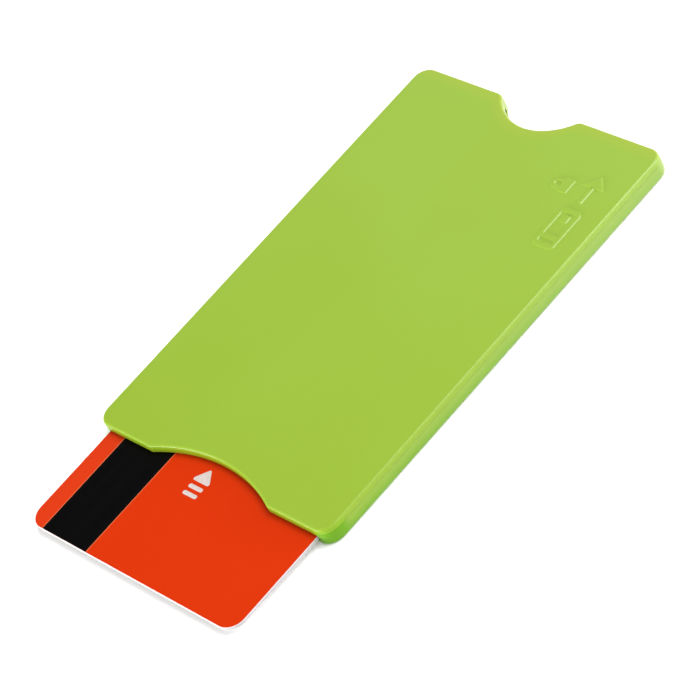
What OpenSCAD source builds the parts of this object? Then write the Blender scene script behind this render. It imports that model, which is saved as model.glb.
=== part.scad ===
// Rigid two-shell sleeve for one payment-size card, with a card part way out of its mouth.
// Millimetres. X runs across the sleeve, Y from the mouth (-Y) to the closed end (+Y), Z up.
// The origin is the centre of the flat underside.

/* [Sleeve] */
// Width of the sleeve across the card
sleeve_w = 60; // [58.5:0.5:66]
// Length of the sleeve from the mouth to the closed end
sleeve_l = 88; // [87.5:0.5:96]
// Thickness of the closed sleeve
sleeve_t = 3.7; // [3.6:0.1:5]
// Corner radius in plan
corner_r = 3; // [2:0.1:3.2]
// Rounding of the front shell's top edge
top_edge_r = 0.45; // [0.2:0.05:0.6]
// Rounding of the rear shell's bottom edge
bottom_edge_r = 0.6; // [0.3:0.05:0.9]
// Height of the joint line between the shells
seam_z = 2.7; // [2.5:0.05:2.9]
// Depth of the witness groove along the joint line of each long side
seam_groove = 0.1; // [0.05:0.01:0.2]

/* [Pocket] */
// Height of the pocket's floor above the underside
pocket_floor_z = 1.1; // [1:0.05:1.3]
// Height of the pocket from floor to ceiling
pocket_h = 0.95; // [0.95:0.05:1.1]
// Clearance beside the card, each side
pocket_side_gap = 0.31; // [0.15:0.01:0.6]
// Thickness of the wall that stops the card at the closed end
end_wall = 1.6; // [1.2:0.1:1.8]
// Clearance between the front shell's plug and the rails around it
plug_gap = 0.04; // [0.02:0.01:0.1]

/* [Notches] */
// Chord of the arc cut into the mouth
mouth_notch_w = 30.6; // [24:0.2:36]
// Depth of the arc cut into the mouth
mouth_notch_depth = 3.45; // [2:0.05:4.5]
// Rounding of the edges of the mouth's arc
lip_edge_r = 0.2; // [0.1:0.05:0.3]
// Radius of the thumb notch in the closed end
thumb_notch_r = 12.1; // [10:0.1:14]
// Depth of the thumb notch
thumb_notch_depth = 4.87; // [4:0.05:6]
// Radius that blends the thumb notch into the end face
thumb_blend_r = 1.2; // [0.8:0.1:1.4]

/* [Shield] */
// Thickness of each shield foil
foil_t = 0.1; // [0.05:0.01:0.12]
// Thickness of each pocket liner
liner_t = 0.1; // [0.05:0.01:0.12]
// Width of the shield foils and liners
foil_w = 50; // [44:0.5:52]
// Length of the shield foils and liners
foil_l = 76; // [70:0.5:77]
// Corner radius of the shield foils and liners
foil_r = 2; // [1:0.1:3]
// Clearance around the foils in their recess
foil_gap = 0.1; // [0.05:0.05:0.3]

/* [Raised mark] */
// Height of the raised strokes above the top face
mark_h = 0.15; // [0.1:0.05:0.3]
// Width of a raised stroke
mark_stroke = 0.9; // [0.7:0.05:1]
// Centre of the row of raised signs, across the sleeve
mark_x = 22.8; // [15:0.1:23.5]
// Near end of the row of raised signs
mark_y = 18.7; // [0:0.1:20]

/* [Card] */
// Width of the card
card_w = 53.98; // [53.92:0.01:54.03]
// Length of the card
card_l = 85.6; // [85.47:0.01:85.72]
// Thickness of the card
card_t = 0.76; // [0.68:0.01:0.8]
// Corner radius of the card
card_r = 3.18; // [2.88:0.01:3.48]
// Gap between the pocket's floor and the card
card_float = 0.11; // [0.05:0.01:0.12]
// How far the card stands out of the mouth as shown
card_out = 21.05; // [5:0.05:60]
// Thickness of each printed film
film_t = 0.08; // [0.06:0.01:0.1]
// Thickness of the magnetic stripe
stripe_t = 0.04; // [0.02:0.01:0.05]
// Distance from the card's edge to the magnetic stripe
stripe_from_edge = 4; // [3.2:0.1:5.5]
// Width of the magnetic stripe
stripe_w = 11.84; // [10.3:0.02:12.7]
// Thickness of the inlay sheet
inlay_t = 0.2; // [0.2:0.01:0.24]

/* [Antenna and chip] */
// Turns of the antenna
antenna_turns = 3; // [2:1:4]
// Width of the antenna track
track_w = 0.6; // [0.3:0.1:0.8]
// Distance from one turn to the next
track_pitch = 1.2; // [1:0.1:1.4]
// Thickness of the antenna track
track_t = 0.08; // [0.04:0.01:0.09]
// Margin between the card's edge and the antenna's outer turn
antenna_margin = 3.5; // [3:0.1:4.5]
// Width of the contact plate across the card
contact_w = 11.8; // [11:0.1:12.5]
// Length of the contact plate along the card
contact_l = 13; // [12:0.1:13.5]
// Thickness of the contact plate
contact_t = 0.16; // [0.12:0.01:0.16]
// Side of the sealed chip behind the contact plate
chip_side = 8; // [6:0.1:8.5]
// Thickness of the sealed chip
chip_t = 0.4; // [0.3:0.01:0.4]
// Distance from the chip's centre to the card's inner edge
chip_from_end = 15.06; // [14:0.02:17]
// Distance from the chip's centre to the card's edge beside the stripe
chip_from_side = 23.89; // [22:0.01:26]

/* [Hidden] */
$fn = 96;
eps = 0.01;

abs_green = [0.65, 0.81, 0.31];
abs_green_side = [0.60, 0.78, 0.32];
foil_silver = [0.78, 0.79, 0.80];
liner_grey = [0.86, 0.88, 0.86];
card_orange = [0.91, 0.23, 0.07];
stripe_black = [0.07, 0.07, 0.07];
pvc_white = [0.95, 0.93, 0.90];
inlay_clear = [0.88, 0.89, 0.86];
track_copper = [0.80, 0.50, 0.30];
contact_gold = [0.84, 0.70, 0.38];

mouth_y = -sleeve_l / 2;
end_y = sleeve_l / 2;
pocket_w = card_w + 2 * pocket_side_gap;
pocket_ceiling_z = pocket_floor_z + pocket_h;
pocket_end_y = end_y - end_wall;

mouth_notch_r = (pow(mouth_notch_w / 2, 2) + pow(mouth_notch_depth, 2)) / (2 * mouth_notch_depth);
mouth_notch_y = mouth_y + mouth_notch_depth - mouth_notch_r;
thumb_notch_y = end_y - thumb_notch_depth + thumb_notch_r;
blend_y = end_y - thumb_blend_r;
blend_x = sqrt(pow(thumb_notch_r + thumb_blend_r, 2) - pow(thumb_notch_y - blend_y, 2));

foil_y = -0.7;
recess_t = foil_t + liner_t;
rear_foil_z = pocket_floor_z - recess_t;
rear_liner_z = pocket_floor_z - liner_t;
front_liner_z = pocket_ceiling_z;
front_foil_z = front_liner_z + liner_t;

card_z = pocket_floor_z + card_float;
card_y = mouth_y - card_out + card_l / 2;
core_t = (card_t - 2 * film_t - inlay_t) / 2;
reverse_core_z = card_z + film_t;
inlay_z = reverse_core_z + core_t;
face_core_z = inlay_z + inlay_t;
face_film_z = face_core_z + core_t;
card_top_z = card_z + card_t;
stripe_x = -card_w / 2 + stripe_from_edge + stripe_w / 2;

antenna_w = card_w - 2 * antenna_margin;
antenna_l = card_l - 2 * antenna_margin;
chip_x = -card_w / 2 + chip_from_side;
chip_y = card_y + card_l / 2 - chip_from_end;
bridge_z = inlay_z + inlay_t - track_t;

// The unit vector at an angle from +X.
function heading(angle) = [cos(angle), sin(angle)];

// A rectangle with rounded corners, centred.
module rounded_rect(w, l, r) {
    union() {
        square([w - 2 * r, l], center = true);
        square([w, l - 2 * r], center = true);
        for (sx = [-1, 1], sy = [-1, 1])
            translate([sx * (w / 2 - r), sy * (l / 2 - r)])
                circle(r);
    }
}

// The side view of a slab's border: reach wide, t high, its upper outer corner rounded.
module border_profile(reach, t, edge) {
    difference() {
        square([reach, t]);
        difference() {
            translate([reach - edge, t - edge])
                square(edge + 1);
            translate([reach - edge, t - edge])
                circle(edge);
        }
    }
}

// A straight stretch of border along +Y from the origin, its rounded edge towards +X.
module border_bar(reach, l, t, edge) {
    translate([0, l, 0])
        rotate([90, 0, 0])
            linear_extrude(l)
                border_profile(reach, t, edge);
}

// A slab standing on z = 0, with round corners in plan and a rounded top edge.
module rounded_slab(w, l, t, r, edge) {
    inner_w = w - 2 * r;
    inner_l = l - 2 * r;
    union() {
        translate([-inner_w / 2, -inner_l / 2, 0])
            cube([inner_w, inner_l, t]);
        for (turn = [0, 180])
            rotate([0, 0, turn])
                translate([inner_w / 2, -inner_l / 2, 0])
                    border_bar(r, inner_l, t, edge);
        for (turn = [90, 270])
            rotate([0, 0, turn])
                translate([inner_l / 2, -inner_w / 2, 0])
                    border_bar(r, inner_w, t, edge);
        for (sx = [0, 1], sy = [0, 1])
            mirror([sx, 0, 0])
                mirror([0, sy, 0])
                    translate([inner_w / 2, inner_l / 2, 0])
                        rotate_extrude(angle = 90)
                            border_profile(r, t, edge);
    }
}

// What an arc-shaped cut takes away: a drum, widened over its top edge by a rounding.
module arc_cut(r, z0, z1, edge) {
    translate([0, 0, z0 - 1])
        cylinder(h = z1 - z0 + 2, r = r);
    translate([0, 0, z1 - edge])
        rotate_extrude()
            difference() {
                translate([r - eps, 0])
                    square([edge + eps, edge + 1]);
                translate([r + edge, 0])
                    circle(edge);
            }
}

// What the blend between the thumb notch and the end face takes away, on the +X side.
module blend_cut(z0, z1) {
    steps = 8;
    sweep = atan2(blend_x, thumb_notch_y - blend_y);
    outside_r = 2.2 * thumb_blend_r;
    centre = [blend_x, blend_y];
    translate([0, 0, z0 - 1])
        linear_extrude(z1 - z0 + 2)
            polygon(concat(
                [for (i = [0 : steps]) centre + thumb_blend_r * heading(90 + sweep * i / steps)],
                [centre + outside_r * heading(90 + sweep), centre + outside_r * heading(90)]
            ));
}

// Everything that the thumb notch and the mouth's arc take away from a slab standing on z = 0.
module notch_cuts(z0, t, edge) {
    for (side = [0, 1])
        mirror([side, 0, 0])
            blend_cut(z0, t);
    translate([0, thumb_notch_y, 0])
        arc_cut(thumb_notch_r, z0, t, edge);
    translate([0, mouth_notch_y, 0])
        arc_cut(mouth_notch_r, z0, t, lip_edge_r);
}

// The flat outline of the foils, of the liners and, with a gap, of their recess.
module shield_sheet(z, t, gap) {
    translate([0, foil_y, z])
        linear_extrude(t)
            rounded_rect(foil_w + 2 * gap, foil_l + 2 * gap, foil_r + gap);
}

// The witness groove that runs along the joint line of both long sides, on one side of the joint.
module seam_grooves(z, h) {
    groove_l = sleeve_l - 2 * corner_r;
    for (sx = [-1, 1])
        translate([sx * sleeve_w / 2, 0, z + h / 2])
            cube([2 * seam_groove, groove_l, h], center = true);
}

// A raised outline of a card with its stripe and chip.
module card_sign(w, l) {
    outer_r = 1.1;
    inner_r = 0.3;
    stripe_y = -l / 2 + 2 * mark_stroke;
    chip_size = [1.7, 1.5];
    chip_mark_y = l / 2 - 2.4 * mark_stroke;
    difference() {
        rounded_rect(w, l, outer_r);
        rounded_rect(w - 2 * mark_stroke, l - 2 * mark_stroke, inner_r);
    }
    translate([-w / 2 + mark_stroke / 2, stripe_y])
        square([w - mark_stroke, mark_stroke]);
    translate([0, chip_mark_y])
        square(chip_size, center = true);
}

// A raised arrow that points the way the card goes in.
module arrow_sign(w, l) {
    head_y = l - w / 2;
    translate([-mark_stroke / 2, 0])
        square([mark_stroke, head_y]);
    translate([0, head_y])
        polygon([[-w / 2, 0], [w / 2, 0], [0, w / 2]]);
}

// A raised padlock: a square body under a plain round bow.
module padlock_sign(w) {
    body_l = 0.8 * w;
    leg_y = 0.5 * w;
    bow_y = 1.1 * w;
    bow_r = w / 2 - 0.3;
    bow_inner_r = bow_r - 0.8 * mark_stroke;
    translate([-w / 2, 0])
        square([w, body_l]);
    difference() {
        union() {
            translate([0, bow_y])
                circle(bow_r);
            translate([-bow_r, leg_y])
                square([2 * bow_r, bow_y - leg_y]);
        }
        translate([0, bow_y])
            circle(bow_inner_r);
        translate([-bow_inner_r, body_l])
            square([2 * bow_inner_r, bow_y - body_l]);
    }
}

// The row of raised signs on the front shell, read from the long side.
module raised_mark() {
    sign_w = 5;
    sign_l = 8.6;
    arrow_l = 6.2;
    lock_w = 2.9;
    sign_gap = 1.6;
    lock_base_x = mark_x - sign_w / 2 - 1.5;
    lock_y = mark_y + sign_l + 3.9;
    base_z = sleeve_t - eps;
    translate([mark_x, mark_y + sign_l / 2, base_z])
        linear_extrude(mark_h + eps)
            card_sign(sign_w, sign_l);
    translate([mark_x, mark_y + sign_l + sign_gap, base_z])
        linear_extrude(mark_h + eps)
            arrow_sign(sign_w, arrow_l);
    translate([lock_base_x, lock_y, base_z])
        rotate([0, 0, 90])
            linear_extrude(mark_h + eps)
                padlock_sign(lock_w);
}

// Front half of the sleeve: a plate with a plug below it that closes the pocket.
module front_shell() {
    rim_t = sleeve_t - seam_z;
    plug_t = seam_z - pocket_ceiling_z;
    plug_w = pocket_w - 2 * plug_gap;
    plug_end_y = pocket_end_y - plug_gap;
    color(abs_green)
        union() {
            difference() {
                translate([0, 0, seam_z])
                    union() {
                        rounded_slab(sleeve_w, sleeve_l, rim_t, corner_r, top_edge_r);
                        translate([-plug_w / 2, mouth_y, -plug_t])
                            cube([plug_w, plug_end_y - mouth_y, plug_t]);
                    }
                translate([0, 0, seam_z])
                    notch_cuts(-plug_t, rim_t, top_edge_r);
                shield_sheet(pocket_ceiling_z - 1, recess_t + 1, foil_gap);
                seam_grooves(seam_z, seam_groove);
            }
            raised_mark();
        }
}

// Rear half of the sleeve: the floor, the side rails and the end wall round the pocket.
module rear_shell() {
    color(abs_green_side)
        difference() {
            translate([0, 0, seam_z])
                mirror([0, 0, 1])
                    difference() {
                        rounded_slab(sleeve_w, sleeve_l, seam_z, corner_r, bottom_edge_r);
                        notch_cuts(0, seam_z, bottom_edge_r);
                    }
            translate([-pocket_w / 2, mouth_y - 1, pocket_floor_z])
                cube([pocket_w, pocket_end_y - mouth_y + 1, sleeve_t]);
            shield_sheet(rear_foil_z, recess_t + 1, foil_gap);
        }
}

// Aluminium shield above the pocket.
module front_shield_foil() {
    color(foil_silver)
        shield_sheet(front_foil_z, foil_t, 0);
}

// Aluminium shield below the pocket.
module rear_shield_foil() {
    color(foil_silver)
        shield_sheet(rear_foil_z, foil_t, 0);
}

// Thin film between the upper foil and the card.
module front_pocket_liner() {
    color(liner_grey)
        shield_sheet(front_liner_z, liner_t, 0);
}

// Thin film between the lower foil and the card.
module rear_pocket_liner() {
    color(liner_grey)
        shield_sheet(rear_liner_z, liner_t, 0);
}

// One sheet of the card, card-shaped.
module card_sheet(z, t) {
    translate([0, card_y, z])
        linear_extrude(t)
            rounded_rect(card_w, card_l, card_r);
}

// The milled room for the contact plate and for the sealed chip, over the heights that they take.
module chip_space() {
    translate([chip_x - contact_w / 2, chip_y - contact_l / 2, card_z - 1])
        cube([contact_w, contact_l, contact_t + 1]);
    translate([chip_x - chip_side / 2, chip_y - chip_side / 2, card_z])
        cube([chip_side, chip_side, contact_t + chip_t]);
}

// Printed film on the card's upper face, thinner under the magnetic stripe.
module card_face_film() {
    color(card_orange)
        difference() {
            card_sheet(face_film_z, film_t);
            translate([stripe_x - stripe_w / 2, card_y - card_l, card_top_z - stripe_t])
                cube([stripe_w, 2 * card_l, 1]);
        }
}

// Magnetic stripe, flush with the card's upper face.
module magnetic_stripe() {
    color(stripe_black)
        translate([stripe_x - stripe_w / 2, card_y - card_l / 2, card_top_z - stripe_t])
            cube([stripe_w, card_l, stripe_t]);
}

// White sheet under the face film.
module card_face_core() {
    color(pvc_white)
        difference() {
            card_sheet(face_core_z, core_t);
            chip_space();
        }
}

// The antenna's flat spiral: each turn is four strips, and each side lies one pitch further in than
// the side a turn before it.
module antenna_spiral() {
    for (turn = [0 : antenna_turns - 1]) {
        half_w = antenna_w / 2 - turn * track_pitch;
        half_l = antenna_l / 2 - turn * track_pitch;
        translate([-half_w, -half_l])
            square([2 * half_w, track_w]);
        translate([half_w - track_w, -half_l])
            square([track_w, 2 * half_l]);
        translate([-half_w, half_l - track_w])
            square([2 * half_w, track_w]);
        translate([-half_w, -half_l + track_pitch])
            square([track_w, 2 * half_l - track_pitch]);
        translate([-half_w, -half_l + track_pitch])
            square([track_pitch + track_w, track_w]);
    }
}

// The whole antenna: the spiral, the lead from its inner end and the bridge from its outer end.
module antenna_solid() {
    inner_x = -antenna_w / 2 + antenna_turns * track_pitch;
    inner_y = -antenna_l / 2 + antenna_turns * track_pitch;
    pad_dx = chip_side / 4;
    lead_x = chip_x - pad_dx;
    bridge_x = chip_x + pad_dx;
    lead_end = chip_y - card_y - chip_side / 2;
    translate([0, card_y, 0])
        union() {
            translate([0, 0, inlay_z])
                linear_extrude(track_t)
                    union() {
                        antenna_spiral();
                        translate([inner_x, inner_y])
                            square([lead_x - inner_x, track_w]);
                        translate([lead_x - track_w, inner_y])
                            square([track_w, lead_end - inner_y]);
                    }
            translate([bridge_x, -antenna_l / 2, inlay_z])
                cube([track_w, track_w, inlay_t]);
            translate([bridge_x, -antenna_l / 2, bridge_z])
                cube([track_w, lead_end + antenna_l / 2, track_t]);
        }
}

// Middle sheet of the card, with room for the antenna and the chip.
module antenna_inlay() {
    color(inlay_clear)
        difference() {
            card_sheet(inlay_z, inlay_t);
            antenna_solid();
            chip_space();
        }
}

// Flat antenna coil in the inlay.
module antenna_coil() {
    color(track_copper)
        antenna_solid();
}

// Contact plate on the card's hidden face with the sealed chip behind it.
module chip_module() {
    color(contact_gold)
        union() {
            translate([chip_x - contact_w / 2, chip_y - contact_l / 2, card_z])
                cube([contact_w, contact_l, contact_t]);
            translate([chip_x - chip_side / 2, chip_y - chip_side / 2, card_z])
                cube([chip_side, chip_side, contact_t + chip_t]);
        }
}

// White sheet over the reverse film.
module card_reverse_core() {
    color(pvc_white)
        difference() {
            card_sheet(reverse_core_z, core_t);
            chip_space();
        }
}

// Printed film on the card's hidden face.
module card_reverse_film() {
    color(pvc_white)
        difference() {
            card_sheet(card_z, film_t);
            chip_space();
        }
}

front_shell();
rear_shell();
front_shield_foil();
rear_shield_foil();
front_pocket_liner();
rear_pocket_liner();
card_face_film();
magnetic_stripe();
card_face_core();
antenna_inlay();
antenna_coil();
chip_module();
card_reverse_core();
card_reverse_film();
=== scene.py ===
# Looks of the card sleeve. Shapes are worked out in millimetres in the CAD frame, whose origin is
# the centre of the sleeve's underside, and become metres when a mesh is made. Materials, lights
# and the camera are given in metres.

import math

import bmesh
import bpy
import numpy as np
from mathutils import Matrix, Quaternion, Vector
from mathutils.geometry import delaunay_2d_cdt


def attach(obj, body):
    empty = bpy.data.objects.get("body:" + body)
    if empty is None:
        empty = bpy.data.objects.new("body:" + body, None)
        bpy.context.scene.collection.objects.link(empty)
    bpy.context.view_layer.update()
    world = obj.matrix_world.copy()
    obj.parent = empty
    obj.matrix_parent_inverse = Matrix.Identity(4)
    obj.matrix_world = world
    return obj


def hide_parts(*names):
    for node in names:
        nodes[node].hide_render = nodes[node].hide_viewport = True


MM = 0.001

# Sleeve, with the sizes of the CAD.
HALF_W = 30.0
HALF_L = 44.0
TOP_Z = 3.7
SEAM_Z = 2.7
CORNER_R = 3.0
TOP_EDGE_R = 0.45
BOTTOM_EDGE_R = 0.6
FLOOR_Z = 1.1
CEILING_Z = 2.05
RECESS_DEPTH = 0.2
RAIL_X = 27.3
RAIL_END_Y = 42.4
PLUG_X = 27.26
PLUG_END_Y = 42.36
MOUTH_ARC_R = 35.65
MOUTH_ARC_Y = -76.2
NOTCH_R = 12.1
NOTCH_Y = 51.23
RECESS_W = 50.2
RECESS_L = 76.2
RECESS_R = 2.1
RECESS_Y = -0.7
CARD_TOP_Z = 1.97

# Sleeve, finer forms. The CAD has smaller radii on the mouth's arc, the notch's edge and the
# notch's blends, and none of the others. POCKET_FADE is the length over which the roundings
# beside the pocket run out.
MOUTH_BLEND_R = 1.2
NOTCH_BLEND_R = 2.0
LIP_EDGE_R = 0.45
NOTCH_EDGE_R = 0.5
POCKET_EDGE_R = 0.12
POCKET_FADE = 0.6
FRONT_RIM_R = 0.04
REAR_RIM_R = 0.15
FRONT_DRAFT = 0.12
REAR_DRAFT = 0.05

# Fineness of the meshes. FLAT_RING is the width of the large face's outermost ring. At the
# closed end, only stations with X below NOTCH_STATIONS_X can open into the pocket. The angles
# are in degrees.
FLAT_RING = 0.15
NOTCH_STATIONS_X = 10.0
EDGE_STEPS = 8
RIM_ANGLES = (0, 30, 60, 90)
LINE_STEP = 1.0
CORNER_STEP = 0.22
MOUTH_STEP = 0.35
NOTCH_STEP = 0.2
BLEND_STEP = 0.08
TWIN_ANGLE = 0.004
CAP_STEP = 2.5
SAME_PLACE = 1e-4
SAME_PLACE_DIGITS = 4
CAP_EPSILON = 1e-5

# Raised signs.
MARK_H = 0.15
FLANK = 0.24
STROKE = 0.9
SIGN_GAP = 1.6
SIGN_X = 22.8
SIGN_Y = 18.7
SIGN_W = 5.0
CARD_SIGN_L = 8.6
CARD_SIGN_R = 1.1
CARD_HOLLOW_R = 0.3
CHIP_W = 1.7
CHIP_L = 1.5
ARROW_L = 6.2
LOCK_W = 2.9
LOCK_R = 0.2
LOCK_BASE_X = 18.8
LOCK_Y = 31.2
BOW_INSET = 0.3
PATCH = (14.0, 25.9, 17.9, 36.0)
PATCH_STEP = 0.1

# White print on the card: a triangle and two bars behind it. The ink's profile gives the share
# of the outline's size at each share of the height.
PRINT_X = -1.7
PRINT_Y = -45.0
PRINT_HEAD_HALF_W = 2.35
PRINT_HEAD_L = 3.0
PRINT_HEAD_R = 0.35
PRINT_BAR_GAPS = (0.75, 2.25)
PRINT_BAR_HALF_W = 1.75
PRINT_BAR_L = 0.8
PRINT_BAR_R = 0.38
INK_H = 0.012
INK_PROFILE = ((1.0, 0.0), (1.0, 0.4), (0.985, 0.8), (0.96, 1.0))

# Studio floor, a sheet of paper.
PAPER_HALF = 4000.0
PAPER_POINTS = 41
PAPER_FLAT_R = 1000.0
PAPER_Z = -0.02
PAPER_RISE = 5e-5

# Zones of the shells' colours and gloss, in metres: along the length, up the wall, and outwards
# from the middle of the mouth and from the notch's centre. The foot, lip-wall, lip and mouth
# zones hold painted shade; the closed end's and the notch's zones hold a painted sheen.
LENGTH = (-HALF_L * MM, HALF_L * MM)
LIP_WALL_Y = (-0.0405, -0.0388)
CLOSED_END_Y = (0.0412, 0.0436)
SHADED_FOOT_Z = (0.0, 0.0021)
LIP_WALL_Z = (0.0030, 0.0037)
LIP_SHADE_Z = (0.0024, 0.0035)
LIP_SHADE_REACH = (0.0262, 0.0278)
NOTCH_SHEEN = ((NOTCH_R + 0.3) * MM, (NOTCH_R + 2.4) * MM)

# Borders of the card's edge strip and of the hairline on both sides of its stripe, in metres.
STRIP_X = (-0.0228, -0.0226)
HAIRLINE_START_X = (-0.02325, -0.02305)
HAIRLINE_STOP_X = (-0.01110, -0.01090)

# Colours of the shells, in linear light. The foot and lip colours are painted shade, the edge
# colours a painted sheen.
FRONT_GREENS = {
    "light": (0.248, 0.390, 0.042),
    "deep": (0.238, 0.366, 0.029),
    "foot_shade": (0.205, 0.385, 0.012),
    "lip_shade": (0.165, 0.215, 0.008),
    "edge_sheen": (0.285, 0.388, 0.040),
}
# The rear's greens are a little darker in green than the front's: painted shade on its side
# walls.
REAR_GREENS = {
    "light": (0.246, 0.376, 0.054),
    "deep": (0.226, 0.362, 0.038),
    "foot_shade": (0.125, 0.315, 0.006),
    "lip_shade": (0.125, 0.200, 0.006),
    "edge_sheen": (0.268, 0.382, 0.058),
}
REVERSE_WHITE = (0.70, 0.69, 0.66)
WHITE = (1.0, 1.0, 1.0)

# Lights: name, place, size, power and colour. Each is turned towards the origin.
LIGHTS = (
    ("top", (0.22, 0.37, 0.88), (0.9, 0.7), 11.0, WHITE),
    ("side", (0.95, 0.32, 0.30), (0.75, 0.45), 0.9, WHITE),
    ("far_side", (0.38, 0.42, 0.14), (0.3, 0.2), 1.35, (1.0, 0.93, 1.0)),
    ("front_left", (-0.40, -1.03, 0.12), (0.8, 0.2), 18.0, WHITE),
)

# Camera, from a fit to the card's and the sleeve's edges with the card's size as the scale.
SENSOR_W = 36.0
LENS = 187.092
CAMERA_PLACE = (0.42503904, -0.19391352, 0.39699981)
CAMERA_TURN = (0.86813606, 0.27132626, 0.31663195, 0.26919520)


class Surface:
    """Points and faces gathered into one mesh. Points that share a place become one vertex."""

    def __init__(self):
        self.points = []
        self.faces = []
        self.count = 0

    def add(self, points):
        """Takes an array (..., 3) of points and returns their numbers in the same shape."""
        flat = np.asarray(points, float).reshape(-1, 3)
        first = self.count
        self.points.append(flat)
        self.count += len(flat)
        return (first + np.arange(len(flat))).reshape(np.asarray(points).shape[:-1])

    def skin(self, rows, closed=True):
        """Quads between each row of point numbers and the next, closed round the row if asked."""
        nxt = np.roll(rows, -1, axis=1) if closed else rows[:, 1:]
        own = rows if closed else rows[:, :-1]
        quads = np.stack([own[:-1], own[1:], nxt[1:], nxt[:-1]], axis=-1)
        self.faces += quads.reshape(-1, 4).tolist()

    def cap(self, *rings):
        """Triangles that fill the flat region inside the first ring and outside the others.

        Points of a square grid inside the region are joined in, so that no triangle is long
        and thin. A grid point counts as inside if a line from it crosses the rings an odd
        number of times."""
        points = np.concatenate(self.points)
        numbers, ends = [], []
        for row in rings:
            keep = []
            for number in row:
                if not keep or np.abs(points[number] - points[keep[-1]]).max() > SAME_PLACE:
                    keep.append(int(number))
            if np.abs(points[keep[0]] - points[keep[-1]]).max() <= SAME_PLACE:
                keep.pop()
            first = len(numbers)
            numbers += keep
            ends += [(first + i, first + (i + 1) % len(keep)) for i in range(len(keep))]
        border = points[numbers][:, :2]
        start = border[[a for a, _ in ends]]
        stop = border[[b for _, b in ends]]

        def inside(places):
            x, y = places[:, :1], places[:, 1:]
            spans = (start[:, 1] > y) != (stop[:, 1] > y)
            rise = np.where(start[:, 1] == stop[:, 1], 1, stop[:, 1] - start[:, 1])
            cross = start[:, 0] + (y - start[:, 1]) / rise * (stop[:, 0] - start[:, 0])
            return (spans & (cross > x)).sum(axis=1) % 2 == 1

        low, high = border.min(axis=0), border.max(axis=0)
        axes = [np.arange(a + CAP_STEP / 2, b, CAP_STEP) for a, b in zip(low, high)]
        grid = np.stack(np.meshgrid(*axes, indexing="ij"), axis=-1).reshape(-1, 2)
        gap = np.array([np.hypot(*(border - place).T).min() for place in grid])
        grid = grid[inside(grid) & (gap > CAP_STEP / 2)]
        height = np.full((len(grid), 1), points[numbers[0], 2])
        numbers += [int(number) for number in self.add(np.hstack([grid, height]))]
        flat = np.vstack([border, grid])
        found = delaunay_2d_cdt([Vector(place) for place in flat], ends, [], 0, CAP_EPSILON)
        places, origins = np.array([tuple(v) for v in found[0]]), found[3]
        middles = np.array([places[face].mean(axis=0) for face in found[2]])
        for face, keep in zip(found[2], inside(middles)):
            if keep:
                self.faces.append([numbers[origins[i][0]] for i in face])

    def build(self, name, sharp=32.0):
        """Makes the object in metres, with faces outwards and smooth edges below the angle sharp.

        The angle is in degrees."""
        points = np.concatenate(self.points)
        _, first, back = np.unique(
            np.round(points, SAME_PLACE_DIGITS), axis=0, return_index=True, return_inverse=True
        )
        back = back.reshape(-1)
        faces = []
        for face in self.faces:
            corners = list(dict.fromkeys(int(back[i]) for i in face))
            if len(corners) > 2:
                faces.append(corners)
        mesh = bpy.data.meshes.new(name)
        mesh.from_pydata((points[first] * MM).tolist(), [], faces)
        mesh.validate()
        work = bmesh.new()
        work.from_mesh(mesh)
        loose = [v for v in work.verts if not v.link_faces]
        bmesh.ops.delete(work, geom=loose, context="VERTS")
        bmesh.ops.recalc_face_normals(work, faces=work.faces)
        work.to_mesh(mesh)
        work.free()
        mesh.polygons.foreach_set("use_smooth", np.ones(len(mesh.polygons), bool))
        mesh.set_sharp_from_angle(angle=math.radians(sharp))
        mesh.update()
        obj = bpy.data.objects.new(name, mesh)
        bpy.context.scene.collection.objects.link(obj)
        return obj


def smooth(t):
    """The smooth step 3t^2 - 2t^3 of t held between 0 and 1."""
    t = np.clip(t, 0, 1)
    return t * t * (3 - 2 * t)


def arc(centre, radius, start, stop, side, twins=(), step=CORNER_STEP):
    """Stations on an arc from one angle to another, in degrees: place, inward normal, angle.

    The place is centre + radius * (cos, sin). The inward normal is side times that direction.
    Two more stations stand close together round each of the twins' angles."""
    count = max(4, int(abs(math.radians(stop - start)) * radius / step))
    angles = np.linspace(start, stop, count, endpoint=False)
    for angle in twins:
        angles = np.append(angles, [angle - TWIN_ANGLE, angle + TWIN_ANGLE])
    angles = np.sort(angles)
    if stop < start:
        angles = angles[::-1]
    way = np.stack([np.cos(np.radians(angles)), np.sin(np.radians(angles))], axis=1)
    return np.array(centre) + radius * way, side * way, angles


def line(a, b, normal):
    """Stations on a straight line from a towards b, with their inward normal."""
    a, b = np.array(a, float), np.array(b, float)
    count = max(2, int(np.linalg.norm(b - a) / LINE_STEP))
    t = np.linspace(0, 1, count, endpoint=False)[:, None]
    return a + t * (b - a), np.tile(np.array(normal, float), (count, 1)), np.zeros(count)


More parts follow.
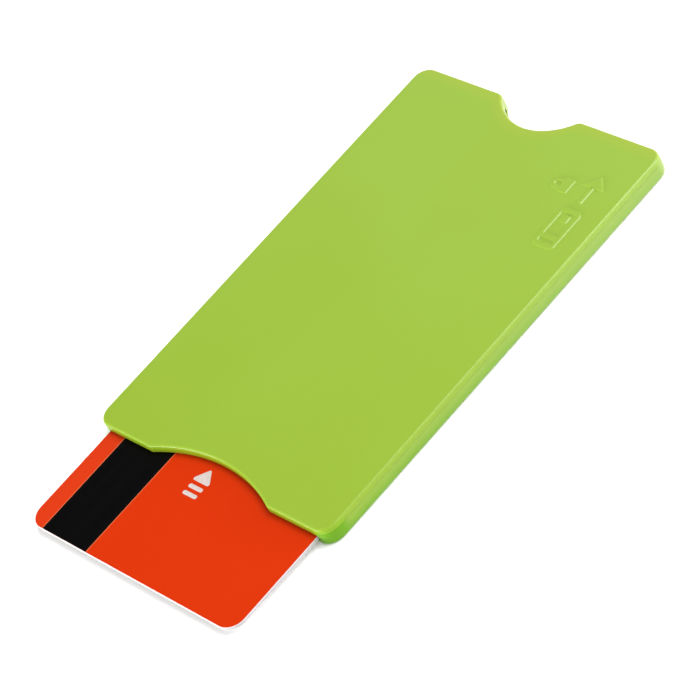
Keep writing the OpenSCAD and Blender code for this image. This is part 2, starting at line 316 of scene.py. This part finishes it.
def outline(inner_x, inner_end_y):
    """The sleeve's outline seen from above, anticlockwise from the middle of the mouth.

    It returns places, inward normals, the share of the mouth's edge rounding and the share of
    the notch's edge rounding at each station. inner_x and inner_end_y are where the pocket's
    walls meet the outline, and two stations stand close together there."""
    blend_y = -HALF_L + MOUTH_BLEND_R
    reach = MOUTH_ARC_R + MOUTH_BLEND_R
    blend_x = math.sqrt(reach**2 - (blend_y - MOUTH_ARC_Y) ** 2)
    blend_turn = math.degrees(math.atan2(blend_x, blend_y - MOUTH_ARC_Y))
    corner_x = HALF_W - CORNER_R
    corner_y = HALF_L - CORNER_R
    rail_angle = -math.degrees(math.acos((inner_x - corner_x) / CORNER_R))
    end_blend_y = HALF_L - NOTCH_BLEND_R
    end_blend_x = math.sqrt((NOTCH_R + NOTCH_BLEND_R) ** 2 - (NOTCH_Y - end_blend_y) ** 2)
    sweep = math.degrees(math.atan2(end_blend_x, NOTCH_Y - end_blend_y))
    end_angle = -90 + math.degrees(math.acos((NOTCH_Y - inner_end_y) / NOTCH_R))
    mouth_arc = arc(
        (0, MOUTH_ARC_Y), MOUTH_ARC_R, 90, 90 - blend_turn, 1, step=MOUTH_STEP
    )
    mouth_blend = arc(
        (blend_x, blend_y), MOUTH_BLEND_R, -90 - blend_turn, -90, -1, step=BLEND_STEP
    )
    notch_blend = arc(
        (end_blend_x, end_blend_y), NOTCH_BLEND_R, 90, 90 + sweep, -1, step=BLEND_STEP
    )
    notch_arc = arc(
        (0, NOTCH_Y), NOTCH_R, -90 + sweep, -90, 1, twins=(end_angle,), step=NOTCH_STEP
    )
    parts = [
        (mouth_arc, 1, 0),
        (mouth_blend, 1, 0),
        (line((blend_x, -HALF_L), (corner_x, -HALF_L), (0, 1)), 1, 0),
        (arc((corner_x, -corner_y), CORNER_R, -90, 0, -1, twins=(rail_angle,)), "fade", 0),
        (line((HALF_W, -corner_y), (HALF_W, corner_y), (-1, 0)), 0, 0),
        (arc((corner_x, corner_y), CORNER_R, 0, 90, -1), 0, 0),
        (line((corner_x, HALF_L), (end_blend_x, HALF_L), (0, -1)), 0, 0),
        (notch_blend, 0, "rise"),
        (notch_arc, 0, 1),
    ]
    places, normals, mouth, notch = [], [], [], []
    for (place, normal, angle), mouth_share, notch_share in parts:
        places.append(place)
        normals.append(normal)
        same = np.ones(len(place))
        mouth.append(smooth(-angle / 90) if mouth_share == "fade" else same * mouth_share)
        notch.append(
            smooth((angle - 90) / sweep) if notch_share == "rise" else same * notch_share
        )
    places.append([[0, NOTCH_Y - NOTCH_R]])
    normals.append([[0, -1]])
    mouth.append([0])
    notch.append([1])
    places, normals = np.concatenate(places), np.concatenate(normals)
    mouth, notch = np.concatenate(mouth), np.concatenate(notch)
    flip = np.array([-1, 1])
    back = slice(-2, 0, -1)
    return (
        np.concatenate([places, places[back] * flip]),
        np.concatenate([normals, normals[back] * flip]),
        np.concatenate([mouth, mouth[back]]),
        np.concatenate([notch, notch[back]]),
    )


def ring(places, normals, inset, z):
    """A closed row of points: the outline moved inwards by inset, at height z."""
    inset = np.broadcast_to(inset, len(places))[:, None]
    z = np.broadcast_to(z, len(places))[:, None]
    return np.hstack([places + normals * inset, z])


def recess_row(z):
    """A closed row of points at height z round the foils' recess, anticlockwise.

    The recess is a rectangle with round corners."""
    rows = []
    for turn, (sx, sy) in enumerate([(1, 1), (-1, 1), (-1, -1), (1, -1)]):
        angle = np.radians(np.linspace(90 * turn, 90 * turn + 90, EDGE_STEPS))
        rows.append(np.stack([
            sx * (RECESS_W / 2 - RECESS_R) + RECESS_R * np.cos(angle),
            RECESS_Y + sy * (RECESS_L / 2 - RECESS_R) + RECESS_R * np.sin(angle),
            np.full(EDGE_STEPS, z),
        ], axis=1))
    return np.concatenate(rows)


def shell(name, edge_z, into, edge_r, notch_r, pocket_z, rim_r, draft, inner, patch):
    """One half of the sleeve, worked out ring by ring from its large face to the pocket.

    The rings go round the edge's rounding, along the wall to the joint, in under the rim and
    along the pocket's wall. Where the pocket is open the wall runs straight on to the pocket.
    Elsewhere the wall leans in by draft between the joint and the large face's edge. The
    roundings beside the pocket run out where the pocket's walls meet the outline.
    into is +1 if the shell's inside lies above its large face and -1 if it lies below. inner is
    where the pocket's walls stand in X and Y. patch is the grid of the raised signs, if any."""
    inner_x, inner_end_y = inner
    places, normals, mouth, notch = outline(inner_x, inner_end_y)
    r = edge_r + (LIP_EDGE_R - edge_r) * mouth + (notch_r - edge_r) * notch
    across, along = np.abs(places[:, 0]), places[:, 1]
    behind = np.where(across < NOTCH_STATIONS_X, inner_end_y - along, -HALF_L)
    open_l = np.where(along < 0, inner_x - across, behind)
    is_open = open_l > 0
    fade = smooth(np.abs(open_l) / POCKET_FADE)
    open_r, rim_r = POCKET_EDGE_R * fade, rim_r * fade
    surface = Surface()
    lean = draft * (1 - mouth) * (1 - notch)
    rows = [ring(places, normals, lean + r + FLAT_RING, edge_z)]
    for angle in np.radians(np.linspace(0, 90, EDGE_STEPS)):
        inset = lean + r * (1 - np.sin(angle))
        rows.append(ring(places, normals, inset, edge_z + into * r * (1 - np.cos(angle))))
    for angle in np.radians(RIM_ANGLES):
        open_d = open_r * (1 - np.cos(angle))
        open_z = pocket_z - into * open_r * (1 - np.sin(angle))
        rim_d = rim_r * (1 - np.cos(angle))
        rim_z = SEAM_Z - into * rim_r * (1 - np.sin(angle))
        rows.append(ring(
            places, normals, np.where(is_open, open_d, rim_d), np.where(is_open, open_z, rim_z)
        ))
    pocket = np.stack([
        np.clip(places[:, 0], -inner_x, inner_x), np.minimum(places[:, 1], inner_end_y)
    ], axis=1)
    edge = places + normals * open_r[:, None]
    for z in (SEAM_Z, pocket_z):
        flat = np.where(is_open[:, None], edge, pocket)
        rows.append(np.hstack([flat, np.where(is_open, pocket_z, z)[:, None]]))
    numbers = surface.add(np.stack(rows))
    surface.skin(numbers)
    if patch is None:
        surface.cap(numbers[0])
    else:
        grid = surface.add(patch)
        surface.skin(grid, closed=False)
        border = np.concatenate([grid[:, 0], grid[-1, 1:], grid[-2::-1, -1], grid[0, -2:0:-1]])
        surface.cap(numbers[0], border)
    recess = surface.add(np.stack([
        recess_row(pocket_z),
        recess_row(pocket_z - into * RECESS_DEPTH),
    ]))
    surface.skin(recess)
    surface.cap(numbers[-1], recess[0])
    surface.cap(recess[1])
    return surface.build(name)


def box_distance(x, y, cx, cy, w, l, r=0.0):
    """Signed distance from a rectangle with round corners, negative inside."""
    dx = np.abs(x - cx) - w / 2 + r
    dy = np.abs(y - cy) - l / 2 + r
    outside = np.hypot(np.maximum(dx, 0), np.maximum(dy, 0))
    return outside + np.minimum(np.maximum(dx, dy), 0) - r


def sign_distance(x, y):
    """Signed distance from the raised signs: a card outline, an arrow and a padlock."""
    card_y = SIGN_Y + CARD_SIGN_L / 2
    outer = box_distance(x, y, SIGN_X, card_y, SIGN_W, CARD_SIGN_L, CARD_SIGN_R)
    hollow_w, hollow_l = SIGN_W - 2 * STROKE, CARD_SIGN_L - 2 * STROKE
    hollow = box_distance(x, y, SIGN_X, card_y, hollow_w, hollow_l, CARD_HOLLOW_R)
    card = np.maximum(outer, -hollow)
    stripe = box_distance(x, y, SIGN_X, SIGN_Y + 2.5 * STROKE, SIGN_W - STROKE, STROKE)
    chip = box_distance(x, y, SIGN_X, SIGN_Y + CARD_SIGN_L - 2.4 * STROKE, CHIP_W, CHIP_L)
    arrow_y = SIGN_Y + CARD_SIGN_L + SIGN_GAP
    head_y = arrow_y + ARROW_L - SIGN_W / 2
    shaft = box_distance(x, y, SIGN_X, (arrow_y + head_y) / 2, STROKE, head_y - arrow_y)
    slope = (np.abs(x - SIGN_X) + (y - head_y) - SIGN_W / 2) * math.sqrt(0.5)
    head = np.maximum(slope, head_y - y)
    up = LOCK_BASE_X - x
    side = y - LOCK_Y
    body = box_distance(side, up, 0, 0.4 * LOCK_W, LOCK_W, 0.8 * LOCK_W, LOCK_R)
    bow_r = LOCK_W / 2 - BOW_INSET
    hole_r = bow_r - 0.8 * STROKE
    bow_up = up - 1.1 * LOCK_W
    round_d = np.where(bow_up > 0, np.hypot(side, bow_up), np.abs(side))
    bow = np.maximum(np.abs(round_d - (bow_r + hole_r) / 2) - (bow_r - hole_r) / 2, -up)
    return np.minimum.reduce([card, stripe, chip, shaft, head, body, bow])


def raised_signs():
    """A grid over part of the top face. Its height follows the distance from the signs' outline.

    The height is flat on top of a stroke, falls as a smooth step across the flank and is zero
    beyond it, so the grid's border lies in the top face."""
    x0, x1, y0, y1 = PATCH
    xs = np.linspace(x0, x1, int(round((x1 - x0) / PATCH_STEP)) + 1)
    ys = np.linspace(y0, y1, int(round((y1 - y0) / PATCH_STEP)) + 1)
    x, y = np.meshgrid(xs, ys, indexing="ij")
    height = MARK_H * smooth((FLANK / 2 - sign_distance(x, y)) / FLANK)
    return np.stack([x, y, TOP_Z + height], axis=-1)


def rounded_polygon(corners, r, steps=7):
    """A closed row of places round a convex polygon whose corners are rounded by r."""
    corners = np.array(corners, float)
    rows = []
    for i, corner in enumerate(corners):
        a = corners[i - 1] - corner
        b = corners[(i + 1) % len(corners)] - corner
        a, b = a / np.linalg.norm(a), b / np.linalg.norm(b)
        half = math.acos(float(np.clip(a @ b, -1, 1))) / 2
        middle = (a + b) / np.linalg.norm(a + b)
        centre = corner + middle * r / math.sin(half)
        start = math.atan2(*(corner + a * r / math.tan(half) - centre)[::-1])
        stop = math.atan2(*(corner + b * r / math.tan(half) - centre)[::-1])
        while stop < start:
            stop += 2 * math.pi
        angle = np.linspace(start, stop, steps)
        rows.append(centre + r * np.stack([np.cos(angle), np.sin(angle)], axis=1))
    return np.concatenate(rows)


def ink_plate(surface, places):
    """A thin closed plate of ink on the card with a rounded rim, from a closed row of places."""
    middle = places.mean(axis=0)
    rows = []
    for share, up in INK_PROFILE:
        z = np.full((len(places), 1), CARD_TOP_Z + up * INK_H)
        rows.append(np.hstack([middle + (places - middle) * share, z]))
    numbers = surface.add(np.stack(rows))
    surface.skin(numbers)
    surface.cap(numbers[0])
    surface.cap(numbers[-1])


def card_sign():
    """The white printed sign on the card: a round-cornered triangle that points into the sleeve
    and two bars behind it."""
    x, y = PRINT_X, PRINT_Y
    surface = Surface()
    left, right = x - PRINT_HEAD_HALF_W, x + PRINT_HEAD_HALF_W
    head = [(left, y), (right, y), (x, y + PRINT_HEAD_L)]
    ink_plate(surface, rounded_polygon(head, PRINT_HEAD_R))
    for gap in PRINT_BAR_GAPS:
        low, high = y - gap - PRINT_BAR_L, y - gap
        left, right = x - PRINT_BAR_HALF_W, x + PRINT_BAR_HALF_W
        bar = [(left, low), (right, low), (right, high), (left, high)]
        ink_plate(surface, rounded_polygon(bar, PRINT_BAR_R))
    return surface.build("card_print_sign", sharp=60.0)


class Paint:
    """A node-based material with short ways to add its procedural parts."""

    def __init__(self, name):
        self.material = bpy.data.materials.new(name)
        self.material.use_nodes = True
        self.tree = self.material.node_tree
        self.shader = self.tree.nodes["Principled BSDF"]
        coords = self.tree.nodes.new("ShaderNodeTexCoord")
        self.place = coords.outputs["Object"]

    def put(self, **values):
        """Sets shader sockets that are the same all over. A colour is a tuple of three."""
        for key, value in values.items():
            socket = self.shader.inputs[key.replace("_", " ")]
            socket.default_value = (*value, 1) if isinstance(value, tuple) else value

    def wire(self, output, target):
        """Joins an output to an input."""
        self.tree.links.new(output, target)

    def stretched(self, scale):
        """Object coordinates scaled by a vector."""
        node = self.tree.nodes.new("ShaderNodeMapping")
        node.inputs["Scale"].default_value = scale
        self.wire(self.place, node.inputs["Vector"])
        return node.outputs["Vector"]

    def noise(self, scale, detail=2.0, rough=0.5, stretch=None, seed=0.0):
        """Noise over the object; scale is cycles per metre."""
        node = self.tree.nodes.new("ShaderNodeTexNoise")
        node.noise_dimensions = "4D"
        node.inputs["W"].default_value = seed
        node.inputs["Scale"].default_value = scale
        node.inputs["Detail"].default_value = detail
        node.inputs["Roughness"].default_value = rough
        self.wire(self.stretched(stretch) if stretch else self.place, node.inputs["Vector"])
        return node.outputs["Fac"]

    def span(self, value, low, high, to_low, to_high):
        """Maps value from one range to another, held at its ends."""
        node = self.tree.nodes.new("ShaderNodeMapRange")
        node.inputs["From Min"].default_value = low
        node.inputs["From Max"].default_value = high
        node.inputs["To Min"].default_value = to_low
        node.inputs["To Max"].default_value = to_high
        self.wire(value, node.inputs["Value"])
        return node.outputs["Result"]

    def mix(self, share, a, b):
        """A colour between a and b. Each is a colour or an output."""
        node = self.tree.nodes.new("ShaderNodeMix")
        node.data_type = "RGBA"
        self.wire(share, node.inputs["Factor"])
        for side, socket in ((a, node.inputs[6]), (b, node.inputs[7])):
            if isinstance(side, tuple):
                socket.default_value = (*side, 1)
            else:
                self.wire(side, socket)
        return node.outputs[2]

    def axis(self, name):
        """One of the object's coordinates, in metres."""
        node = self.tree.nodes.new("ShaderNodeSeparateXYZ")
        self.wire(self.place, node.inputs[0])
        return node.outputs[name]

    def maths(self, kind, a, b):
        """Two outputs added or multiplied."""
        node = self.tree.nodes.new("ShaderNodeMath")
        node.operation = kind
        self.wire(a, node.inputs[0])
        self.wire(b, node.inputs[1])
        return node.outputs[0]

    def distance(self, point):
        """Distance from a point of the object, in metres."""
        node = self.tree.nodes.new("ShaderNodeVectorMath")
        node.operation = "DISTANCE"
        self.wire(self.place, node.inputs[0])
        node.inputs[1].default_value = point
        return node.outputs["Value"]

    def colour(self, output):
        """Uses an output as the base colour."""
        self.wire(output, self.shader.inputs["Base Color"])

    def roughness(self, output):
        """Uses an output as the roughness."""
        self.wire(output, self.shader.inputs["Roughness"])

    def bumps(self, *layers):
        """Adds bumps from (height output, depth in metres) layers, one on top of the other."""
        below = None
        for height, depth in layers:
            node = self.tree.nodes.new("ShaderNodeBump")
            node.inputs["Strength"].default_value = 1.0
            node.inputs["Distance"].default_value = depth
            self.wire(height, node.inputs["Height"])
            if below is not None:
                self.wire(below, node.inputs["Normal"])
            below = node.outputs["Normal"]
        self.wire(below, self.shader.inputs["Normal"])


def moulded_abs(name, seed, light, deep, foot_shade, lip_shade, edge_sheen):
    """Glossy moulded ABS: faint cloudy tint, slight waviness of the skin and fine grain.

    The colour is a little deeper at the mouth than at the closed end, a painted shade, and the
    gloss is lower there. The foot of the wall turns to a deeper foot colour towards the mouth,
    and so does the wall below the large face's edge at the mouth: painted shade. Over the card's
    width the lower lip then turns to a darker, olive lip colour: painted shade with the card's
    orange bounce light painted in. Along the closed end and the notch the edge turns to a
    lighter, more olive colour: a painted sheen."""
    p = Paint(name)
    length, height = p.axis("Y"), p.axis("Z")
    # Painted shade: the tone grows deeper towards the mouth and lighter towards the closed end.
    slope = p.span(length, *LENGTH, -0.3, 0.3)
    clouds = p.maths("ADD", p.noise(34.0, 3.0, 0.55, seed=seed), slope)
    specks = p.noise(5200.0, 2.0, 0.6, seed=seed + 1)
    tint = p.mix(p.span(clouds, 0.1, 0.9, 0.0, 1.0), deep, light)
    # Painted shade: the foot of the wall turns deeper and greener, more so towards the mouth.
    low = p.span(height, *SHADED_FOOT_Z, 1.0, 0.0)
    tint = p.mix(p.maths("MULTIPLY", low, p.span(length, *LENGTH, 1.0, 0.3)), tint, foot_shade)
    # Painted shade: the wall below the large face's edge at the mouth takes the same deeper tone.
    below = p.span(height, *LIP_WALL_Z, 1.0, 0.0)
    tint = p.mix(p.maths("MULTIPLY", below, p.span(length, *LIP_WALL_Y, 1.0, 0.0)), tint, foot_shade)
    # Painted shade over the card's width: the lower lip turns darker and olive, with the card's
    # orange bounce light painted in.
    mouth = p.distance((0.0, -HALF_L * MM, SEAM_Z * MM))
    lip_shade_z = p.span(height, *LIP_SHADE_Z, 1.0, 0.0)
    tint = p.mix(p.maths("MULTIPLY", lip_shade_z, p.span(mouth, *LIP_SHADE_REACH, 1.0, 0.0)), tint, lip_shade)
    # Painted sheen: along the closed end and round the notch the edge turns lighter and more
    # olive.
    tint = p.mix(p.span(length, *CLOSED_END_Y, 0.0, 1.0), tint, edge_sheen)
    notch = p.distance((0.0, NOTCH_Y * MM, TOP_Z * MM))
    tint = p.mix(p.span(notch, *NOTCH_SHEEN, 1.0, 0.0), tint, edge_sheen)
    speck = tuple(0.9 * c for c in deep)
    p.colour(p.mix(p.span(specks, 0.62, 0.8, 0.0, 0.07), tint, speck))
    haze = p.noise(120.0, 4.0, 0.6, seed=seed + 2)
    p.roughness(p.span(haze, 0.0, 1.0, 0.25, 0.36))
    p.wire(p.span(length, *LENGTH, 0.14, 0.36), p.shader.inputs["Specular IOR Level"])
    p.wire(p.span(length, *LENGTH, 0.02, 0.25), p.shader.inputs["Coat Weight"])
    waves = p.noise(60.0, 1.0, seed=seed + 3)
    grain = p.noise(2600.0, 2.0, 0.6, seed=seed + 4)
    p.bumps((waves, 4e-5), (grain, 1.2e-6))
    p.put(IOR=1.53, Coat_Roughness=0.2)
    return p.material


def printed_film(name, inner, edge_strip, hairline):
    """Satin laminated print: fine halftone grain, faint scuffs, a lighter strip beyond the stripe
    and a hairline that shows along both sides of it."""
    p = Paint(name)
    grain = p.noise(3600.0, 2.0, 0.6, seed=2.0)
    width = p.axis("X")
    ground = p.mix(p.span(width, *STRIP_X, 1.0, 0.0), inner, edge_strip)
    start = p.span(width, *HAIRLINE_START_X, 0.0, 1.0)
    stop = p.span(width, *HAIRLINE_STOP_X, 1.0, 0.0)
    ground = p.mix(p.maths("MULTIPLY", start, stop), ground, hairline)
    dots = tuple(0.75 * c for c in inner)
    p.colour(p.mix(p.span(grain, 0.45, 0.75, 0.0, 0.1), ground, dots))
    scuffs = p.noise(90.0, 5.0, 0.65, stretch=(6.0, 0.7, 1.0), seed=4.0)
    p.roughness(p.span(scuffs, 0.35, 0.7, 0.36, 0.46))
    p.bumps((p.noise(45.0, 1.0, seed=5.0), 2e-5), (p.noise(4200.0, 2.0, seed=6.0), 8e-7))
    p.put(IOR=1.46, Specular_IOR_Level=0.05)
    return p.material


def stripe_band():
    """Black magnetic tape: faint lengthwise streaks and a little dust."""
    p = Paint("magnetic_tape")
    streaks = p.noise(700.0, 3.0, 0.6, stretch=(1.0, 0.02, 1.0), seed=1.0)
    dust = p.noise(2400.0, 2.0, 0.5, seed=3.0)
    black, worn = (0.0010, 0.0009, 0.0010), (0.0022, 0.0018, 0.0021)
    base = p.mix(p.span(streaks, 0.35, 0.7, 0.0, 1.0), black, worn)
    p.colour(p.mix(p.span(dust, 0.7, 0.85, 0.0, 0.2), base, (0.05, 0.045, 0.045)))
    p.roughness(p.span(streaks, 0.3, 0.7, 0.4, 0.5))
    p.bumps((p.noise(900.0, 2.0, stretch=(1.0, 0.05, 1.0), seed=5.0), 1e-6))
    p.put(IOR=1.45, Specular_IOR_Level=0.04)
    return p.material


def cut_plastic(name, colour, shade, layer):
    """Punched edge and face of a PVC sheet: fine saw-like lines and a mottled tone."""
    p = Paint(name)
    mottle = p.noise(260.0, 3.0, 0.6, seed=layer)
    lines = p.noise(900.0, 2.0, 0.6, stretch=(1.0, 1.0, 12.0), seed=layer + 2.0)
    p.colour(p.mix(p.span(mottle, 0.3, 0.7, 0.0, 1.0), shade, colour))
    p.roughness(p.span(lines, 0.3, 0.7, 0.45, 0.6))
    p.bumps((lines, 4e-6))
    p.put(IOR=1.5)
    return p.material


def printed_ink():
    """White screen-printed ink with a slightly open texture."""
    p = Paint("white_ink")
    cover = p.noise(2800.0, 3.0, 0.6, seed=7.0)
    p.colour(p.mix(p.span(cover, 0.35, 0.75, 0.0, 1.0), (0.56, 0.50, 0.475), (0.50, 0.40, 0.37)))
    p.roughness(p.span(cover, 0.3, 0.7, 0.4, 0.55))
    p.bumps((cover, 1e-6))
    return p.material


def rolled_metal(name, colour, dark, rough, direction, scale):
    """Metal with rolling lines along one direction and faint staining."""
    p = Paint(name)
    lines = p.noise(scale, 3.0, 0.6, stretch=direction, seed=3.0)
    stain = p.noise(70.0, 4.0, 0.6, seed=8.0)
    p.colour(p.mix(p.span(stain, 0.35, 0.7, 0.0, 1.0), colour, dark))
    p.roughness(p.span(lines, 0.3, 0.7, rough, rough + 0.16))
    p.bumps((lines, 1.5e-6))
    p.put(Metallic=1.0)
    return p.material


def milky_film():
    """Thin polyester liner: slightly cloudy, with faint roller lines."""
    p = Paint("milky_liner")
    cloud = p.noise(55.0, 4.0, 0.6, seed=1.0)
    lines = p.noise(600.0, 2.0, stretch=(1.0, 0.04, 1.0), seed=2.0)
    p.colour(p.mix(p.span(cloud, 0.3, 0.7, 0.0, 1.0), (0.62, 0.66, 0.62), (0.74, 0.77, 0.74)))
    p.roughness(p.span(lines, 0.3, 0.7, 0.22, 0.34))
    p.bumps((lines, 1e-6))
    return p.material


def paper_floor():
    """Matt white studio paper with a faint tooth, lit a little from below."""
    p = Paint("studio_paper")
    tooth = p.noise(900.0, 3.0, 0.6, seed=1.0)
    p.colour(p.mix(p.span(tooth, 0.3, 0.7, 0.0, 1.0), (0.90, 0.90, 0.90), (0.92, 0.92, 0.92)))
    p.roughness(p.span(tooth, 0.3, 0.7, 0.8, 0.9))
    p.put(Emission_Color=WHITE, Emission_Strength=0.16)
    return p.material


def studio_floor():
    """A gently dished sheet of paper, flat under the object and rising far away from it.

    The height is zero within a metre and then grows with the square of the distance."""
    t = np.linspace(-PAPER_HALF, PAPER_HALF, PAPER_POINTS)
    x, y = np.meshgrid(t, t, indexing="ij")
    beyond = np.maximum(np.hypot(x, y) - PAPER_FLAT_R, 0)
    surface = Surface()
    grid = surface.add(np.stack([x, y, PAPER_Z + beyond**2 * PAPER_RISE], axis=-1))
    surface.skin(grid, closed=False)
    floor = surface.build("studio_floor", sharp=60.0)
    floor.data.materials.append(paper_floor())
    return floor


def area_light(name, place, size, power, colour):
    """A soft rectangular light at a place, turned towards the origin."""
    data = bpy.data.lights.new(name, "AREA")
    data.shape = "RECTANGLE"
    data.size, data.size_y = size
    data.energy = power
    data.color = colour
    light = bpy.data.objects.new(name, data)
    bpy.context.scene.collection.objects.link(light)
    light.location = place
    light.rotation_euler = (-Vector(place)).to_track_quat("-Z", "Y").to_euler()


def studio_world(even, slope, towards):
    """Dim surroundings whose brightness rises evenly towards one direction."""
    world = bpy.data.worlds.new("studio")
    bpy.context.scene.world = world
    world.use_nodes = True
    tree = world.node_tree
    ground = tree.nodes["Background"]
    coords = tree.nodes.new("ShaderNodeTexCoord")
    dot = tree.nodes.new("ShaderNodeVectorMath")
    dot.operation = "DOT_PRODUCT"
    dot.inputs[1].default_value = Vector(towards).normalized()
    tree.links.new(coords.outputs["Generated"], dot.inputs[0])
    level = tree.nodes.new("ShaderNodeMapRange")
    level.inputs["From Min"].default_value = -1.0
    level.inputs["From Max"].default_value = 1.0
    level.inputs["To Min"].default_value = even - slope
    level.inputs["To Max"].default_value = even + slope
    tree.links.new(dot.outputs["Value"], level.inputs["Value"])
    tree.links.new(level.outputs["Result"], ground.inputs["Strength"])
    ground.inputs["Color"].default_value = (1.0, 1.0, 1.0, 1.0)


def camera():
    """The photograph's view."""
    data = bpy.data.cameras.new("camera")
    data.sensor_width = SENSOR_W
    data.lens = LENS
    data.clip_start, data.clip_end = 0.05, 20.0
    data.dof.use_dof = False
    obj = bpy.data.objects.new("camera", data)
    obj.rotation_mode = "QUATERNION"
    obj.rotation_quaternion = Quaternion(CAMERA_TURN)
    obj.location = CAMERA_PLACE
    bpy.context.scene.collection.objects.link(obj)
    bpy.context.scene.camera = obj


def finish_piece(obj, material, body):
    """Gives a new piece its material, body and material slot."""
    obj.data.materials.append(material)
    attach(obj, body)


def finish_node(node, material):
    """Repaints a CAD node that is shown as it is."""
    node.data.materials.clear()
    node.data.materials.append(material)


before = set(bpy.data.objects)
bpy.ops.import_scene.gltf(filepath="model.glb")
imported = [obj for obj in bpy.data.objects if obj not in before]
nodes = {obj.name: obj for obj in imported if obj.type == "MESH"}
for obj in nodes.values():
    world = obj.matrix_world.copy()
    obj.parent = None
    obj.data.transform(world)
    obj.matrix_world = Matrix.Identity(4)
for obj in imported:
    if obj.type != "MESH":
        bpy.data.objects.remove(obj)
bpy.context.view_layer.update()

front = shell(
    "front_shell_moulding", edge_z=TOP_Z, into=-1, edge_r=TOP_EDGE_R, notch_r=NOTCH_EDGE_R,
    pocket_z=CEILING_Z, rim_r=FRONT_RIM_R, draft=FRONT_DRAFT, inner=(PLUG_X, PLUG_END_Y),
    patch=raised_signs(),
)
finish_piece(front, moulded_abs("front_abs", 0.0, **FRONT_GREENS), "sleeve")
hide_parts("front_shell")

rear = shell(
    "rear_shell_moulding", edge_z=0.0, into=1, edge_r=BOTTOM_EDGE_R, notch_r=BOTTOM_EDGE_R,
    pocket_z=FLOOR_Z, rim_r=REAR_RIM_R, draft=REAR_DRAFT, inner=(RAIL_X, RAIL_END_Y),
    patch=None,
)
finish_piece(rear, moulded_abs("rear_abs", 20.0, **REAR_GREENS), "sleeve")
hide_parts("rear_shell")

finish_piece(card_sign(), printed_ink(), "card")

foil = rolled_metal(
    "rolled_foil", (0.86, 0.87, 0.88), (0.78, 0.79, 0.81), 0.24, (1.0, 0.03, 1.0), 900.0
)
liner = milky_film()
looks = {
    "card_face_film": printed_film(
        "orange_film", (0.525, 0.0265, 0.0015), (0.545, 0.034, 0.0055), (0.60, 0.13, 0.05)
    ),
    "magnetic_stripe": stripe_band(),
    "card_face_core": cut_plastic("face_pvc", (0.66, 0.60, 0.59), (0.60, 0.54, 0.53), 1.0),
    "card_reverse_core": cut_plastic("back_pvc", (0.42, 0.40, 0.42), (0.37, 0.35, 0.37), 5.0),
    "antenna_inlay": cut_plastic("inlay_pvc", (0.54, 0.51, 0.52), (0.49, 0.46, 0.47), 9.0),
    "card_reverse_film": printed_film(
        "white_film", REVERSE_WHITE, REVERSE_WHITE, REVERSE_WHITE
    ),
    "antenna_coil": rolled_metal(
        "copper_track", (0.78, 0.38, 0.22), (0.62, 0.28, 0.16), 0.28, (1.0, 1.0, 1.0), 1500.0
    ),
    "chip_module": rolled_metal(
        "gold_contact", (0.90, 0.70, 0.34), (0.80, 0.60, 0.28), 0.22, (0.1, 1.0, 1.0), 1200.0
    ),
    "front_shield_foil": foil,
    "rear_shield_foil": foil,
    "front_pocket_liner": liner,
    "rear_pocket_liner": liner,
}
for name, material in looks.items():
    finish_node(nodes[name], material)

studio_floor()
studio_world(0.42, 0.2, (0.9, 0.2, 0.2))
for light in LIGHTS:
    area_light(*light)
bpy.context.scene.view_settings.view_transform = "Standard"
camera()
